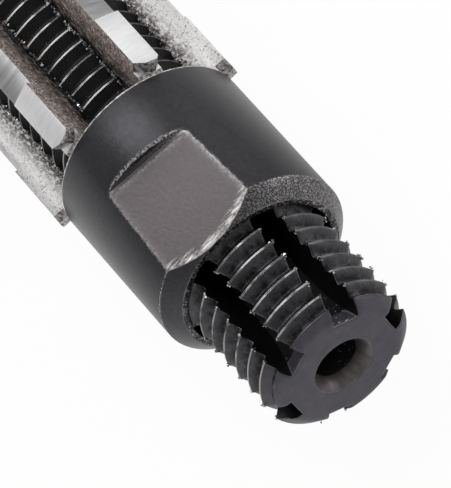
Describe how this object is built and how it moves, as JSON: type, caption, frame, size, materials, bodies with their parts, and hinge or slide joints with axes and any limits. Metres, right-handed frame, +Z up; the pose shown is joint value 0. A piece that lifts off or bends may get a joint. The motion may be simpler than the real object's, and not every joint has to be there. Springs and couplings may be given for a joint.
{
  "type": "adjustable hand reamer",
  "caption": "Adjustable hand reamer: threaded steel body with tapered slots, sliding ground blades held between two conical nuts, plain shank and drive square.",
  "frame": {"origin": "on the tool's axis at the middle of its length", "axes": "+X along the axis towards the tip, +Z up as the tool lies on a bench, resting on its two nuts"},
  "size_m": [0.13, 0.011, 0.0102],
  "materials": {
    "blackened_steel": "blackened, satin",
    "ground_steel": "ground"
  },
  "bodies": {
    "reamer_body": {"body": "blackened_steel"},
    "front_nut": {"front_nut": "blackened_steel"},
    "rear_nut": {"rear_nut": "blackened_steel"},
    "blade_1": {"blade_1": "ground_steel"},
    "blade_2": {"blade_2": "ground_steel"},
    "blade_3": {"blade_3": "ground_steel"},
    "blade_4": {"blade_4": "ground_steel"},
    "blade_5": {"blade_5": "ground_steel"},
    "blade_6": {"blade_6": "ground_steel"}
  },
  "joints": [
    {"name": "front_nut_travel", "type": "slide", "parent": "reamer_body", "child": "front_nut", "axis": [-1, 0, 0], "range_m": [-0.0043, 0.01384]},
    {"name": "blade_1_travel", "type": "slide", "parent": "reamer_body", "child": "blade_1", "axis": [-0.9997, 0.0262, 0], "range_m": [-0.00452, 0.01451]},
    {"name": "blade_2_travel", "type": "slide", "parent": "reamer_body", "child": "blade_2", "axis": [-0.9997, 0.0131, 0.0227], "range_m": [-0.00452, 0.01451]},
    {"name": "blade_3_travel", "type": "slide", "parent": "reamer_body", "child": "blade_3", "axis": [-0.9997, -0.0131, 0.0227], "range_m": [-0.00452, 0.01451]},
    {"name": "blade_4_travel", "type": "slide", "parent": "reamer_body", "child": "blade_4", "axis": [-0.9997, -0.0262, 0], "range_m": [-0.00452, 0.01451]},
    {"name": "blade_5_travel", "type": "slide", "parent": "reamer_body", "child": "blade_5", "axis": [-0.9997, -0.0131, -0.0227], "range_m": [-0.00452, 0.01451]},
    {"name": "blade_6_travel", "type": "slide", "parent": "reamer_body", "child": "blade_6", "axis": [-0.9997, 0.0131, -0.0227], "range_m": [-0.00452, 0.01451]},
    {"name": "rear_nut_travel", "type": "slide", "parent": "reamer_body", "child": "rear_nut", "axis": [-1, 0, 0], "range_m": [-0.00472, 0.01516]}
  ],
  "couplings": [
    {"joint": "blade_1_travel", "follows": "front_nut_travel", "ratio": 1.0479},
    {"joint": "blade_2_travel", "follows": "front_nut_travel", "ratio": 1.0479},
    {"joint": "blade_3_travel", "follows": "front_nut_travel", "ratio": 1.0479},
    {"joint": "blade_4_travel", "follows": "front_nut_travel", "ratio": 1.0479},
    {"joint": "blade_5_travel", "follows": "front_nut_travel", "ratio": 1.0479},
    {"joint": "blade_6_travel", "follows": "front_nut_travel", "ratio": 1.0479},
    {"joint": "rear_nut_travel", "follows": "front_nut_travel", "ratio": 1.095}
  ]
}
